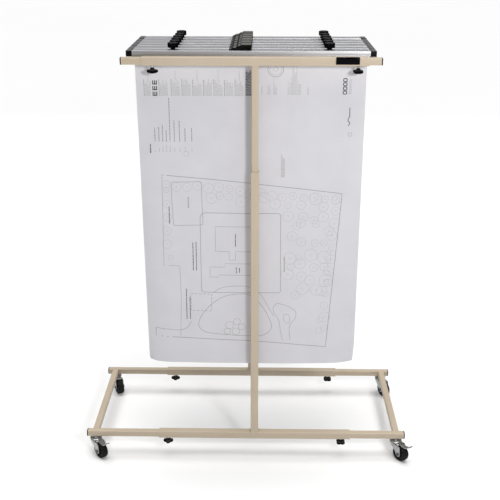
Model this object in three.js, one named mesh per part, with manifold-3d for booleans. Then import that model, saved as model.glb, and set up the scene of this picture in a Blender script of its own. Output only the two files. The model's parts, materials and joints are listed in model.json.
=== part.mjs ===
// A mobile plan stand: a telescoping square-tube frame on four casters that hangs large
// drawing sheets from clamps. Millimetres, +Z up, +X to the right, the front faces -Y.

import * as THREE from 'three';
import { mergeVertices } from 'three/addons/utils/BufferGeometryUtils.js';
import Module from 'manifold-3d';

const wasm = await Module();
wasm.setup();

// ---------------------------------------------------------------- driving dimensions

// Square tube: sleeves and lower posts, and the tube that slides inside them.
const SLEEVE_TUBE = 22.4;
const SLIDING_TUBE = 18.4;
const TUBE_WALL = 1.6;
const TUBE_CORNER = 2.4;

// Frame.
const RAIL_SPACING = 386;
const BASE_RAIL_Z = 76.5;
const TOP_RAIL_Z = 1197.5;
const BASE_SLEEVE_LENGTH = 580;
const TOP_SLEEVE_LENGTH = 588;
const FRONT_TEE_X = 27;
const REAR_TEE_X = 12;
const LOWER_POST_TOP = 902.5;
const UPPER_POST_BOTTOM = 415.5;
const BASE_CENTRE_X = 0;
const BASE_HALF_WIDTH = 483;
const BASE_SLIDING_LENGTH = 400;
const BASE_SIDE_INSET = 16.6;
const TOP_CENTRE_X = 16.5;
const TOP_HALF_WIDTH = 339.5;
const TOP_SLIDING_LENGTH = 290;
const TOP_SIDE_INSET = 12;
const VENT_HOLE = 8;

// Gap kept between pieces that touch, and radial gap of screws in their holes.
const GAP = 0.3;
const SCREW_CLEARANCE = 0.4;

// Lock knobs under the sleeves, and lock screws on the posts.
const KNOB_INSET = 27;
const STUD_DIAMETER = 6;
const LOCK_NECK_DIAMETER = 11;
const LOCK_NECK_LENGTH = 5.5;
const LOCK_HEAD_THICKNESS = 13.5;
const LOCK_HEAD_RADIUS = 12.5;
const LOCK_LOBES = 4;
const LOBE_DEPTH = 2.2;
const POST_SCREW_DROP = 22;
const POST_SCREW_HEAD = 11;
const POST_SCREW_HEAD_THICKNESS = 4;

// Casters.
const WHEEL_DIAMETER = 50;
const WHEEL_WIDTH = 20;
const AXLE_DIAMETER = 6;
const CASTER_TRAIL = 23;
const LEG_THICKNESS = 2.5;
const LEG_INNER_HALF = 11.8;
const LEG_END_RADIUS = 8;
const CROWN_BOTTOM_Z = 52;
const CROWN_TOP_Z = 56;
const CROWN_FRONT_X = -12;
const CROWN_BACK_X = 16;
const LEG_BACK_EDGE = [[29, 47], [26, 54.5], [16, 55.5]];
const HEAD_RADIUS = 18;
const HEAD_TOP_Z = 61;
const COLLAR_RADIUS = 11;
const STEM_RADIUS = 5;
const STEM_TOP_Z = 82.5;
const LEVER_WIDTH = 14;
const LEVER_PIVOT = [21, 53];
const LEVER_OUTLINE = [
  [21, 51.8], [38, 51], [47, 52.6], [63, 63.6],
  [61.6, 65.6], [46.2, 55], [38, 53.4], [21, 54.2],
];
const LEVER_PIN_RADIUS = 1.5;
const LEVER_BARREL_RADIUS = 2.6;

// Clamps: how far each one's front face is behind the first one's.
const CLAMP_STEPS = [0, 48, 98, 147, 195, 253];
const CLAMP_FRONT_Y = -178;
const CLAMP_CENTRE_X = 16;
const CLAMP_LENGTH = 652;
const CLAMP_DEPTH = 44;
const CLAMP_HEIGHT = 14.5;
const CAP_LENGTH = 16;
const CHANNEL_WALL = 2;
const JAW_Y = 19;
const JAW_THICKNESS = 3;
const WEDGE_SLOPE = 0.36;
const WEDGE_FOOT_Y = 38;
const BAR_HEIGHT = 8;
const BAR_DROP = 2.4;
const CLAMP_KNOB_OFFSET = 205;
const CLAMP_SCREW_Y = 27;
const CLAMP_SCREW_DIAMETER = 5;
const CLAMP_NECK_DIAMETER = 13;
const CLAMP_NECK_LENGTH = 4;
const CLAMP_HEAD_THICKNESS = 13.5;
const CLAMP_HEAD_RADIUS = 12.8;
const CLAMP_LOBES = 6;
const CLAMP_LOBE_DEPTH = 1.2;
const HANGER_LEFT = -58.5;
const HANGER_DEPTH = 40;
const HANGER_OUTLINE = [
  [0, 0], [60, 0], [60, 14.5], [32, 14.5], [31, 12],
  [25, 11.2], [19.5, 7.2], [12.5, 6.8], [6.5, 3.4], [0, 1.5],
];
const HANGER_SLOT = [[38, 1.6], [38, 7], [54, 7], [54, 1.6]];

// Plan sheet, 24 by 36 inches.
const SHEET_WIDTH = 610;
const SHEET_LENGTH = 914;
const SHEET_THICKNESS = 0.5;

// Blank label plate on the front top sleeve.
const LABEL_WIDTH = 61;
const LABEL_HEIGHT = 19.4;
const LABEL_THICKNESS = 2;
const LABEL_CENTRE_X = 265.5;
const LABEL_RISE = 3;

// Figures that follow from the driving dimensions.
const FRONT_Y = -RAIL_SPACING / 2;
const REAR_Y = RAIL_SPACING / 2;
const SLEEVE_HALF = SLEEVE_TUBE / 2;
const SLIDING_HALF = SLIDING_TUBE / 2;
const RAIL_TOP = TOP_RAIL_Z + SLIDING_HALF;
const CLAMP_BOTTOM = RAIL_TOP + GAP;
const CLAMP_TOP = CLAMP_BOTTOM + CLAMP_HEIGHT;
const WHEEL_RADIUS = WHEEL_DIAMETER / 2;

// ---------------------------------------------------------------- materials

const MATERIALS = {
  paint: { color: 0xc6b8a2, roughness: 0.5, metalness: 0.0 },
  aluminium: { color: 0xb8b8bb, roughness: 0.35, metalness: 0.9 },
  blackPlastic: { color: 0x17171a, roughness: 0.55, metalness: 0.0 },
  zinc: { color: 0xb4b9b9, roughness: 0.35, metalness: 0.85 },
  rubber: { color: 0x101010, roughness: 0.7, metalness: 0.0 },
  paper: { color: 0xd6d6dc, roughness: 0.9, metalness: 0.0 },
  steel: { color: 0x8c8c8c, roughness: 0.4, metalness: 0.8 },
};

// ---------------------------------------------------------------- solids

// A closed geometry as a solid that can be joined and cut.
function solidOf(geometry) {
  const bare = geometry.clone();
  bare.deleteAttribute('normal');
  bare.deleteAttribute('uv');
  const merged = mergeVertices(bare, 1e-4);
  return new wasm.Manifold(new wasm.Mesh({
    numProp: 3,
    vertProperties: new Float32Array(merged.attributes.position.array),
    triVerts: new Uint32Array(merged.index.array),
  }));
}

// A solid's surface as a geometry.
function geometryOf(solid) {
  const surface = solid.getMesh();
  const geometry = new THREE.BufferGeometry();
  geometry.setAttribute('position', new THREE.BufferAttribute(surface.vertProperties, 3));
  geometry.setIndex(new THREE.BufferAttribute(surface.triVerts, 1));
  return geometry;
}

function unionOf(solids) {
  return solids.reduce((whole, piece) => whole.add(piece));
}

// A flat outline through points.
function shapeThrough(points) {
  return new THREE.Shape(points.map(([a, b]) => new THREE.Vector2(a, b)));
}

function box(minimum, maximum) {
  const size = maximum.map((value, axis) => value - minimum[axis]);
  const geometry = new THREE.BoxGeometry(...size);
  geometry.translate(...minimum.map((value, axis) => value + size[axis] / 2));
  return solidOf(geometry);
}

// Turns a geometry made along +Z so that it runs along the named axis.
function alongAxis(geometry, axis) {
  if (axis === 'x') geometry.rotateY(Math.PI / 2);
  if (axis === 'y') geometry.rotateX(-Math.PI / 2);
  return geometry;
}

// A cylinder along an axis, from its start point, by its length.
function cylinder(axis, radius, start, length, sides = 16) {
  const geometry = new THREE.CylinderGeometry(radius, radius, length, sides);
  geometry.rotateX(Math.PI / 2);
  geometry.translate(0, 0, length / 2);
  alongAxis(geometry, axis);
  geometry.translate(...start);
  return solidOf(geometry);
}

// The outline of a square with rounded corners.
function roundedSquare(path, half, radius) {
  const inner = half - radius;
  path.moveTo(half, -inner);
  path.lineTo(half, inner);
  path.absarc(inner, inner, radius, 0, Math.PI / 2);
  path.lineTo(-inner, half);
  path.absarc(-inner, inner, radius, Math.PI / 2, Math.PI);
  path.lineTo(-half, -inner);
  path.absarc(-inner, -inner, radius, Math.PI, 1.5 * Math.PI);
  path.lineTo(inner, -half);
  path.absarc(inner, -inner, radius, 1.5 * Math.PI, 2 * Math.PI);
  return path;
}

// A square bar with rounded edges along an axis, from its start point.
function squareBar(axis, size, corner, start, length, cornerSteps = 2) {
  const outline = roundedSquare(new THREE.Shape(), size / 2, corner);
  const options = { depth: length, bevelEnabled: false, curveSegments: cornerSteps };
  const geometry = new THREE.ExtrudeGeometry(outline, options);
  alongAxis(geometry, axis);
  geometry.translate(...start);
  return solidOf(geometry);
}

// The bore of a square tube, as a bar.
function tubeBore(axis, size, start, length) {
  return squareBar(axis, size - 2 * TUBE_WALL, TUBE_CORNER - TUBE_WALL / 2, start, length, 1);
}

function squareTube(axis, size, start, length) {
  const outside = squareBar(axis, size, TUBE_CORNER, start, length);
  return outside.subtract(tubeBore(axis, size, start, length));
}

// A solid turned from a profile of [radius, z] points that starts and ends on the axis.
function turned(profile, sides) {
  const points = profile.map(([radius, z]) => new THREE.Vector2(radius, z));
  const geometry = new THREE.LatheGeometry(points, sides);
  geometry.rotateX(Math.PI / 2);
  return geometry;
}

// A knob head with lobes round its edge, from bottom to top.
function lobedHead(radius, lobeDepth, lobes, bottom, thickness) {
  const outline = new THREE.Shape();
  const steps = 24;
  for (let step = 0; step < steps; step += 1) {
    const angle = (step / steps) * 2 * Math.PI;
    const reach = radius + lobeDepth * Math.cos(lobes * angle);
    const point = [reach * Math.cos(angle), reach * Math.sin(angle)];
    if (step === 0) outline.moveTo(...point);
    else outline.lineTo(...point);
  }
  outline.closePath();
  const geometry = new THREE.ExtrudeGeometry(outline, { depth: thickness, bevelEnabled: false });
  geometry.translate(0, 0, bottom);
  return solidOf(geometry);
}

// ---------------------------------------------------------------- scene

const stand = new THREE.Group();

// Adds one named piece to the stand, moved and turned to its place.
function addPiece(name, geometry, material, position = [0, 0, 0], turn = [0, 0, 0]) {
  const mesh = new THREE.Mesh(geometry, new THREE.MeshStandardMaterial(MATERIALS[material]));
  mesh.name = name;
  mesh.position.set(...position);
  mesh.rotation.set(...turn);
  stand.add(mesh);
}

// ---------------------------------------------------------------- frame

// Holes in a sleeve's bottom wall for the two lock knobs' studs.
function knobHoles(centreX, y, railZ, sleeveLength) {
  const reach = sleeveLength / 2 - KNOB_INSET;
  const radius = STUD_DIAMETER / 2 + SCREW_CLEARANCE;
  const start = railZ - SLEEVE_HALF - 1;
  return unionOf([-reach, reach].map((x) => cylinder('z', radius, [centreX + x, y, start], TUBE_WALL + 2)));
}

// A base sleeve with a lower post welded on it; inward is +1 or -1 in Y, towards the stand's middle.
function baseTee(centreX, y, inward) {
  const sleeveStart = [centreX - BASE_SLEEVE_LENGTH / 2, y, BASE_RAIL_Z];
  const postStart = [centreX, y, BASE_RAIL_Z + SLEEVE_HALF - TUBE_CORNER];
  const sleeve = squareTube('x', SLEEVE_TUBE, sleeveStart, BASE_SLEEVE_LENGTH);
  const post = squareTube('z', SLEEVE_TUBE, postStart, LOWER_POST_TOP - postStart[2]);
  const screwRadius = STUD_DIAMETER / 2 + SCREW_CLEARANCE;
  const wallMiddle = y + inward * (SLEEVE_HALF - TUBE_WALL / 2);
  const screwStart = [centreX, wallMiddle - TUBE_WALL, LOWER_POST_TOP - POST_SCREW_DROP];
  return sleeve.add(post)
    .subtract(tubeBore('x', SLEEVE_TUBE, sleeveStart, BASE_SLEEVE_LENGTH))
    .subtract(knobHoles(centreX, y, BASE_RAIL_Z, BASE_SLEEVE_LENGTH))
    .subtract(cylinder('y', screwRadius, screwStart, 2 * TUBE_WALL));
}

// A top sleeve with an upper post welded under it.
function topTee(centreX, y) {
  const sleeveStart = [centreX - TOP_SLEEVE_LENGTH / 2, y, TOP_RAIL_Z];
  const postLength = TOP_RAIL_Z - SLEEVE_HALF + TUBE_WALL / 2 - UPPER_POST_BOTTOM;
  const sleeve = squareTube('x', SLEEVE_TUBE, sleeveStart, TOP_SLEEVE_LENGTH);
  const post = squareTube('z', SLIDING_TUBE, [centreX, y, UPPER_POST_BOTTOM], postLength);
  return sleeve.add(post).subtract(knobHoles(centreX, y, TOP_RAIL_Z, TOP_SLEEVE_LENGTH));
}

// A U frame: front and rear sliding rails and a side tube; side is -1 for left and +1 for right.
function endFrame(side, centreX, halfWidth, inset, slidingLength, railZ, hasSockets) {
  const outerX = centreX + side * halfWidth;
  const sideX = outerX - side * (inset + SLIDING_HALF);
  const railX = side < 0 ? outerX : outerX - slidingLength;
  const railStarts = [FRONT_Y, REAR_Y].map((y) => [railX, y, railZ]);
  const sideStart = FRONT_Y + SLIDING_HALF - TUBE_CORNER;
  const sideTube = squareTube('y', SLIDING_TUBE, [sideX, sideStart, railZ], -2 * sideStart);
  const rails = railStarts.map((start) => squareTube('x', SLIDING_TUBE, start, slidingLength));
  let frame = unionOf([...rails, sideTube]);
  for (const start of railStarts) {
    frame = frame.subtract(tubeBore('x', SLIDING_TUBE, start, slidingLength));
  }
  frame = frame.subtract(cylinder('y', VENT_HOLE / 2, [sideX, FRONT_Y, railZ], RAIL_SPACING));
  if (hasSockets) {
    const socketRadius = STEM_RADIUS + SCREW_CLEARANCE;
    for (const y of [FRONT_Y, REAR_Y]) {
      const start = [sideX, y, railZ - SLIDING_HALF - 1];
      frame = frame.subtract(cylinder('z', socketRadius, start, TUBE_WALL + 2));
    }
  }
  return frame;
}

function addFrame() {
  addPiece('base_front_tee', geometryOf(baseTee(FRONT_TEE_X, FRONT_Y, 1)), 'paint');
  addPiece('base_rear_tee', geometryOf(baseTee(REAR_TEE_X, REAR_Y, -1)), 'paint');
  addPiece('top_front_tee', geometryOf(topTee(FRONT_TEE_X, FRONT_Y)), 'paint');
  addPiece('top_rear_tee', geometryOf(topTee(REAR_TEE_X, REAR_Y)), 'paint');
  for (const [name, side] of [['left', -1], ['right', 1]]) {
    const base = endFrame(side, BASE_CENTRE_X, BASE_HALF_WIDTH, BASE_SIDE_INSET, BASE_SLIDING_LENGTH,
      BASE_RAIL_Z, true);
    const top = endFrame(side, TOP_CENTRE_X, TOP_HALF_WIDTH, TOP_SIDE_INSET, TOP_SLIDING_LENGTH,
      TOP_RAIL_Z, false);
    addPiece(`base_${name}_frame`, geometryOf(base), 'paint');
    addPiece(`top_${name}_frame`, geometryOf(top), 'paint');
  }
}

// The blank plate on the front face of the front top sleeve.
function addLabelPlate() {
  const geometry = new THREE.BoxGeometry(LABEL_WIDTH, LABEL_THICKNESS, LABEL_HEIGHT);
  const y = FRONT_Y - SLEEVE_HALF - GAP - LABEL_THICKNESS / 2;
  addPiece('label_plate', geometry, 'blackPlastic', [LABEL_CENTRE_X, y, TOP_RAIL_Z + LABEL_RISE]);
}

// ---------------------------------------------------------------- lock knobs and screws

// A lock knob whose stud points up through the wall that starts at z = 0.
function lockKnob() {
  const studTop = TUBE_WALL + SCREW_CLEARANCE - GAP;
  const spindle = turned([
    [0, -LOCK_NECK_LENGTH - 1],
    [LOCK_NECK_DIAMETER / 2, -LOCK_NECK_LENGTH - 1],
    [LOCK_NECK_DIAMETER / 2, -GAP],
    [STUD_DIAMETER / 2, -GAP],
    [STUD_DIAMETER / 2, studTop],
    [0, studTop],
  ], 12);
  const bottom = -LOCK_NECK_LENGTH - LOCK_HEAD_THICKNESS;
  const head = lobedHead(LOCK_HEAD_RADIUS, LOBE_DEPTH, LOCK_LOBES, bottom, LOCK_HEAD_THICKNESS);
  return geometryOf(head.add(solidOf(spindle)));
}

function addLockKnobs() {
  const levels = [['base', BASE_RAIL_Z, BASE_SLEEVE_LENGTH], ['top', TOP_RAIL_Z, TOP_SLEEVE_LENGTH]];
  const rails = [['front', FRONT_TEE_X, FRONT_Y], ['rear', REAR_TEE_X, REAR_Y]];
  for (const [level, railZ, sleeveLength] of levels) {
    const reach = sleeveLength / 2 - KNOB_INSET;
    for (const [rail, centreX, y] of rails) {
      for (const [side, offset] of [['left', -reach], ['right', reach]]) {
        const place = [centreX + offset, y, railZ - SLEEVE_HALF];
        const turn = side === 'left' ? 0 : Math.PI / 4;
        addPiece(`${level}_${rail}_${side}_lock_knob`, lockKnob(), 'blackPlastic', place, [0, 0, turn]);
      }
    }
  }
}

// A low screw whose tip holds the upper post; its shank points along +Z from the wall at z = 0.
function postScrew() {
  const tip = TUBE_WALL + SCREW_CLEARANCE - GAP;
  return turned([
    [0, -GAP - POST_SCREW_HEAD_THICKNESS],
    [POST_SCREW_HEAD / 2, -GAP - POST_SCREW_HEAD_THICKNESS],
    [POST_SCREW_HEAD / 2, -GAP],
    [STUD_DIAMETER / 2, -GAP],
    [STUD_DIAMETER / 2, tip],
    [0, tip],
  ], 12);
}

function addPostScrews() {
  const z = LOWER_POST_TOP - POST_SCREW_DROP;
  addPiece('front_post_lock_screw', postScrew(), 'zinc',
    [FRONT_TEE_X, FRONT_Y + SLEEVE_HALF, z], [Math.PI / 2, 0, 0]);
  addPiece('rear_post_lock_screw', postScrew(), 'zinc',
    [REAR_TEE_X, REAR_Y - SLEEVE_HALF, z], [-Math.PI / 2, 0, 0]);
}

// ---------------------------------------------------------------- casters
// A caster is made round its swivel axis, its wheel trailing along +X and its axle along Y.

// One fork leg's side outline, in X and Z: wide under the crown, round at the axle.
function legOutline() {
  const outline = new THREE.Shape();
  outline.moveTo(CROWN_FRONT_X, CROWN_BOTTOM_Z + 1);
  outline.lineTo(CASTER_TRAIL - LEG_END_RADIUS, WHEEL_RADIUS);
  outline.absarc(CASTER_TRAIL, WHEEL_RADIUS, LEG_END_RADIUS, Math.PI, 2 * Math.PI);
  for (const [x, z] of LEG_BACK_EDGE) outline.lineTo(x, z);
  outline.closePath();
  return outline;
}

function forkLeg(centreY) {
  const options = { depth: LEG_THICKNESS, bevelEnabled: false, curveSegments: 8 };
  const geometry = new THREE.ExtrudeGeometry(legOutline(), options);
  geometry.rotateX(Math.PI / 2);
  geometry.translate(0, centreY + LEG_THICKNESS / 2, 0);
  return solidOf(geometry);
}

// A fork with its stem and axle, and the brake lever's pin where there is one.
function casterFork(hasBrake) {
  const legY = LEG_INNER_HALF + LEG_THICKNESS / 2;
  const crown = box(
    [CROWN_FRONT_X, -legY - LEG_THICKNESS / 2, CROWN_BOTTOM_Z],
    [CROWN_BACK_X, legY + LEG_THICKNESS / 2, CROWN_TOP_Z],
  );
  const head = solidOf(turned([
    [0, CROWN_BOTTOM_Z],
    [HEAD_RADIUS - 4, CROWN_BOTTOM_Z],
    [HEAD_RADIUS, CROWN_TOP_Z],
    [HEAD_RADIUS, HEAD_TOP_Z - 3],
    [HEAD_RADIUS - 2, HEAD_TOP_Z],
    [COLLAR_RADIUS, HEAD_TOP_Z],
    [COLLAR_RADIUS, BASE_RAIL_Z - SLIDING_HALF - GAP],
    [STEM_RADIUS, BASE_RAIL_Z - SLIDING_HALF - GAP],
    [STEM_RADIUS, STEM_TOP_Z],
    [0, STEM_TOP_Z],
  ], 16));
  const axleEnd = legY + LEG_THICKNESS / 2 + 2.5;
  const axle = cylinder('y', AXLE_DIAMETER / 2, [CASTER_TRAIL, -axleEnd, WHEEL_RADIUS], 2 * axleEnd, 12);
  const pieces = [head, crown, forkLeg(-legY), forkLeg(legY), axle];
  if (hasBrake) {
    const start = [LEVER_PIVOT[0], -legY, LEVER_PIVOT[1]];
    pieces.push(cylinder('y', LEVER_PIN_RADIUS, start, 2 * legY, 8));
  }
  return geometryOf(unionOf(pieces));
}

// The wheel about its own axle, which lies along Y.
function casterWheel() {
  const bore = AXLE_DIAMETER / 2 + SCREW_CLEARANCE;
  const half = WHEEL_WIDTH / 2;
  const profile = [
    [bore, -half + 1],
    [WHEEL_RADIUS - 8, -half + 1],
    [WHEEL_RADIUS - 7, -half],
    [WHEEL_RADIUS - 2.5, -half],
    [WHEEL_RADIUS, -half + 3.5],
    [WHEEL_RADIUS, half - 3.5],
    [WHEEL_RADIUS - 2.5, half],
    [WHEEL_RADIUS - 7, half],
    [WHEEL_RADIUS - 8, half - 1],
    [bore, half - 1],
    [bore, -half + 1],
  ];
  const geometry = turned(profile, 24);
  geometry.rotateX(Math.PI / 2);
  return geometryOf(solidOf(geometry));
}

// The brake lever: a strip over the tyre with a toe tab, turning on the pin between the legs.
function brakeLever() {
  const outline = shapeThrough(LEVER_OUTLINE);
  const strip = new THREE.ExtrudeGeometry(outline, { depth: LEVER_WIDTH, bevelEnabled: false });
  strip.rotateX(Math.PI / 2);
  strip.translate(0, LEVER_WIDTH / 2, 0);
  const start = [LEVER_PIVOT[0], -LEVER_WIDTH / 2, LEVER_PIVOT[1]];
  const barrel = cylinder('y', LEVER_BARREL_RADIUS, start, LEVER_WIDTH, 12);
  const boreStart = [start[0], start[1] - 1, start[2]];
  const bore = cylinder('y', LEVER_PIN_RADIUS + SCREW_CLEARANCE, boreStart, LEVER_WIDTH + 2, 12);
  return geometryOf(solidOf(strip).add(barrel).subtract(bore));
}

// Each caster: name, side, rail, the way its wheel trails (degrees from +X), and whether it has a brake.
const CASTERS = [
  ['front_left', -1, FRONT_Y, -46, true],
  ['front_right', 1, FRONT_Y, -50, true],
  ['rear_left', -1, REAR_Y, -60, false],
  ['rear_right', 1, REAR_Y, -62, false],
];

function addCasters() {
  const swivelX = BASE_HALF_WIDTH - BASE_SIDE_INSET - SLIDING_HALF;
  for (const [name, side, y, degrees, hasBrake] of CASTERS) {
    const turn = THREE.MathUtils.degToRad(degrees);
    const place = [BASE_CENTRE_X + side * swivelX, y, 0];
    const wheelPlace = [
      place[0] + CASTER_TRAIL * Math.cos(turn),
      place[1] + CASTER_TRAIL * Math.sin(turn),
      WHEEL_RADIUS,
    ];
    addPiece(`${name}_caster_fork`, casterFork(hasBrake), 'zinc', place, [0, 0, turn]);
    addPiece(`${name}_caster_wheel`, casterWheel(), 'rubber', wheelPlace, [0, 0, turn]);
    if (hasBrake) addPiece(`${name}_brake_lever`, brakeLever(), 'zinc', place, [0, 0, turn]);
  }
}

// ---------------------------------------------------------------- clamps
// A clamp is made with its front face at y = 0, its middle at x = 0 and its top at z = 0.

// A channel's cross section, in Y and Z, extruded along X between two ends.
function extrudedAlongX(points, fromX, toX) {
  const geometry = new THREE.ExtrudeGeometry(shapeThrough(points), { depth: toX - fromX, bevelEnabled: false });
  geometry.rotateX(Math.PI / 2);
  geometry.rotateZ(Math.PI / 2);
  geometry.translate(fromX, 0, 0);
  return solidOf(geometry);
}

// The extrusion: web, front wall, the fixed jaw and the sloped wall that backs the press bar.
function clampChannel() {
  const half = CLAMP_LENGTH / 2;
  const jawBack = JAW_Y - SHEET_THICKNESS / 2 - GAP;
  const wedgeTop = WEDGE_FOOT_Y - WEDGE_SLOPE * (CLAMP_HEIGHT - CHANNEL_WALL);
  const section = [
    [0, -CLAMP_HEIGHT],
    [CHANNEL_WALL, -CLAMP_HEIGHT],
    [CHANNEL_WALL, -CHANNEL_WALL],
    [jawBack - JAW_THICKNESS, -CHANNEL_WALL],
    [jawBack - JAW_THICKNESS, -CLAMP_HEIGHT],
    [jawBack, -CLAMP_HEIGHT],
    [jawBack, -CHANNEL_WALL],
    [wedgeTop, -CHANNEL_WALL],
    [WEDGE_FOOT_Y, -CLAMP_HEIGHT],
    [CLAMP_DEPTH, -CLAMP_HEIGHT],
    [CLAMP_DEPTH, 0],
    [0, 0],
  ];
  const screwRadius = CLAMP_SCREW_DIAMETER / 2 + SCREW_CLEARANCE;
  let channel = extrudedAlongX(section, -half, half);
  for (const side of [-1, 1]) {
    const inner = side * (half - CAP_LENGTH);
    const outer = side * half;
    const lowX = Math.min(inner, outer);
    channel = channel.add(box([lowX, 0, -CLAMP_HEIGHT], [lowX + CAP_LENGTH, CLAMP_DEPTH, 0]));
    const holeStart = [side * CLAMP_KNOB_OFFSET, CLAMP_SCREW_Y, -CHANNEL_WALL - 1];
    channel = channel.subtract(cylinder('z', screwRadius, holeStart, CHANNEL_WALL + 2, 12));
  }
  return geometryOf(channel);
}

// The moving jaw: upright towards the sheet, sloped like the wall behind it, slotted for the screws.
function pressBar() {
  const front = JAW_Y + SHEET_THICKNESS / 2 + GAP;
  const top = -CHANNEL_WALL - 1;
  const bottom = top - BAR_HEIGHT;
  const slopeAt = (z) => WEDGE_FOOT_Y - WEDGE_SLOPE * (z + CLAMP_HEIGHT) - 2 * GAP;
  const half = CLAMP_LENGTH / 2 - CAP_LENGTH - 2;
  const section = [[front, bottom], [slopeAt(bottom), bottom], [slopeAt(top), top], [front, top]];
  let bar = extrudedAlongX(section, -half, half);
  const radius = CLAMP_SCREW_DIAMETER / 2 + SCREW_CLEARANCE;
  for (const side of [-1, 1]) {
    const x = side * CLAMP_KNOB_OFFSET;
    const low = [x - radius, CLAMP_SCREW_Y - radius - WEDGE_SLOPE * BAR_DROP, bottom - 1];
    const high = [x + radius, CLAMP_SCREW_Y + radius, top + 1];
    bar = bar.subtract(box(low, high));
  }
  return geometryOf(bar);
}

// A clamp knob: lobed head above the channel, screw down through the channel and the bar.
function clampKnob() {
  const neckTop = CLAMP_NECK_LENGTH + 1;
  const screwEnd = 1 - CLAMP_HEIGHT;
  const spindle = turned([
    [0, screwEnd],
    [CLAMP_SCREW_DIAMETER / 2, screwEnd],
    [CLAMP_SCREW_DIAMETER / 2, GAP],
    [CLAMP_NECK_DIAMETER / 2, GAP],
    [CLAMP_NECK_DIAMETER / 2, neckTop],
    [0, neckTop],
  ], 12);
  const head = lobedHead(CLAMP_HEAD_RADIUS, CLAMP_LOBE_DEPTH, CLAMP_LOBES, CLAMP_NECK_LENGTH,
    CLAMP_HEAD_THICKNESS);
  return geometryOf(head.add(solidOf(spindle)));
}

// The hanger is drawn in X and Z from its low left end: two ramps up to a flat top, and a slot under it.
function hanger() {
  const outline = shapeThrough(HANGER_OUTLINE);
  outline.holes.push(new THREE.Path(shapeThrough(HANGER_SLOT).getPoints()));
  const geometry = new THREE.ExtrudeGeometry(outline, { depth: HANGER_DEPTH, bevelEnabled: false });
  geometry.rotateX(Math.PI / 2);
  geometry.translate(HANGER_LEFT, CLAMP_DEPTH, GAP);
  return geometry;
}

function addClamps() {
  CLAMP_STEPS.forEach((step, index) => {
    const number = index + 1;
    const place = [CLAMP_CENTRE_X, CLAMP_FRONT_Y + step, CLAMP_TOP];
    addPiece(`clamp_${number}_channel`, clampChannel(), 'aluminium', place);
    addPiece(`clamp_${number}_press_bar`, pressBar(), 'steel', place);
    addPiece(`clamp_${number}_hanger`, hanger(), 'blackPlastic', place);
    for (const [side, sign] of [['left', -1], ['right', 1]]) {
      const knobPlace = [place[0] + sign * CLAMP_KNOB_OFFSET, place[1] + CLAMP_SCREW_Y, place[2]];
      const turn = [0, 0, 0.4 * index + sign];
      addPiece(`clamp_${number}_${side}_knob`, clampKnob(), 'blackPlastic', knobPlace, turn);
    }
  });
}

// The sheet hangs straight down from between the front clamp's jaws.
function addPlanSheet() {
  const top = CLAMP_TOP - CHANNEL_WALL - GAP - 1;
  const geometry = new THREE.BoxGeometry(SHEET_WIDTH, SHEET_THICKNESS, SHEET_LENGTH);
  addPiece('plan_sheet', geometry, 'paper', [CLAMP_CENTRE_X - 1, CLAMP_FRONT_Y + JAW_Y, top - SHEET_LENGTH / 2]);
}

addFrame();
addLabelPlate();
addLockKnobs();
addPostScrews();
addCasters();
addClamps();
addPlanSheet();

// The origin is the middle of the stand's footprint, on the floor.
const extent = new THREE.Box3().setFromObject(stand);
stand.position.set(-(extent.min.x + extent.max.x) / 2, -(extent.min.y + extent.max.y) / 2, -extent.min.z);

export default stand;
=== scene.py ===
"""A mobile plan stand: powder-coated square tube, casters, six hanging clamps and one hung plan.

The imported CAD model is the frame. Shapes are drawn in millimetres, +Z up and the front facing -Y,
and are scaled to metres when they become a piece.
"""
import json
import math
import random

import bmesh
import bpy
from mathutils import Matrix, Vector

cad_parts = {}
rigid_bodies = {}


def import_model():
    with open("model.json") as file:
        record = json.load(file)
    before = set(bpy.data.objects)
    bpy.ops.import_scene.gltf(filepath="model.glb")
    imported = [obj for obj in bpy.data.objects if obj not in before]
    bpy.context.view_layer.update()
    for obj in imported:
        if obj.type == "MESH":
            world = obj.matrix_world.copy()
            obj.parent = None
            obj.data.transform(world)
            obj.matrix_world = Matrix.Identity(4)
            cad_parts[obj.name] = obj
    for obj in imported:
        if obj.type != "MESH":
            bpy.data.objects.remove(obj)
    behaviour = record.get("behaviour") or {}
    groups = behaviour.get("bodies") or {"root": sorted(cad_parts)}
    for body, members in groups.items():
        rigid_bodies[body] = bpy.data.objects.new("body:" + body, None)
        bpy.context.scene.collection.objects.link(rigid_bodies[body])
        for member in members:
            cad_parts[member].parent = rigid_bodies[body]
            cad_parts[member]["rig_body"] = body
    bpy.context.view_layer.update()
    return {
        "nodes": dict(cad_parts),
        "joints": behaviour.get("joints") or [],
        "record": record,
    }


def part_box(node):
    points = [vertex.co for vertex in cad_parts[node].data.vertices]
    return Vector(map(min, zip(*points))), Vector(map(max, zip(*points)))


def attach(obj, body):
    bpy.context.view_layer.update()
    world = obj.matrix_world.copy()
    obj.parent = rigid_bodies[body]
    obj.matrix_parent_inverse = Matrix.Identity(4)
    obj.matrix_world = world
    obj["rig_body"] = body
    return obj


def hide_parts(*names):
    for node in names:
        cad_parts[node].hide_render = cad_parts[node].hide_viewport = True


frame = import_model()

MM = 0.001
OUTWARD = {"left": -1, "right": 1}

# Camera: metres and degrees.
CAMERA_PLACE = (0.04214, -2.44973, 1.54618)
CAMERA_PITCH_DOWN = 20.99
CAMERA_TURN_LEFT = 0.97
CAMERA_LENS = 62.58
CAMERA_SENSOR = 36.0

# Light: metres, degrees and watts.
KEY_AZIMUTH = 21.0
KEY_ELEVATION = 13.0
KEY_DISTANCE = 2.2
KEY_SIZE = 0.3
KEY_POWER = 20.5
LIT_POINT = (0.0, 0.0, 1.15)
TOP_STRENGTH = 3.3
TOP_SPREAD = 50.0
BACK_PLACE = (0.0, 4.5, 1.95)
BACK_WIDTH = 6.0
BACK_HEIGHT = 1.6
BACK_POWER = 20.0
WORLD_STRENGTH = 1.0
FLOOR_HALF = 60.0
FLOOR_GLOW = 0.14

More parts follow.
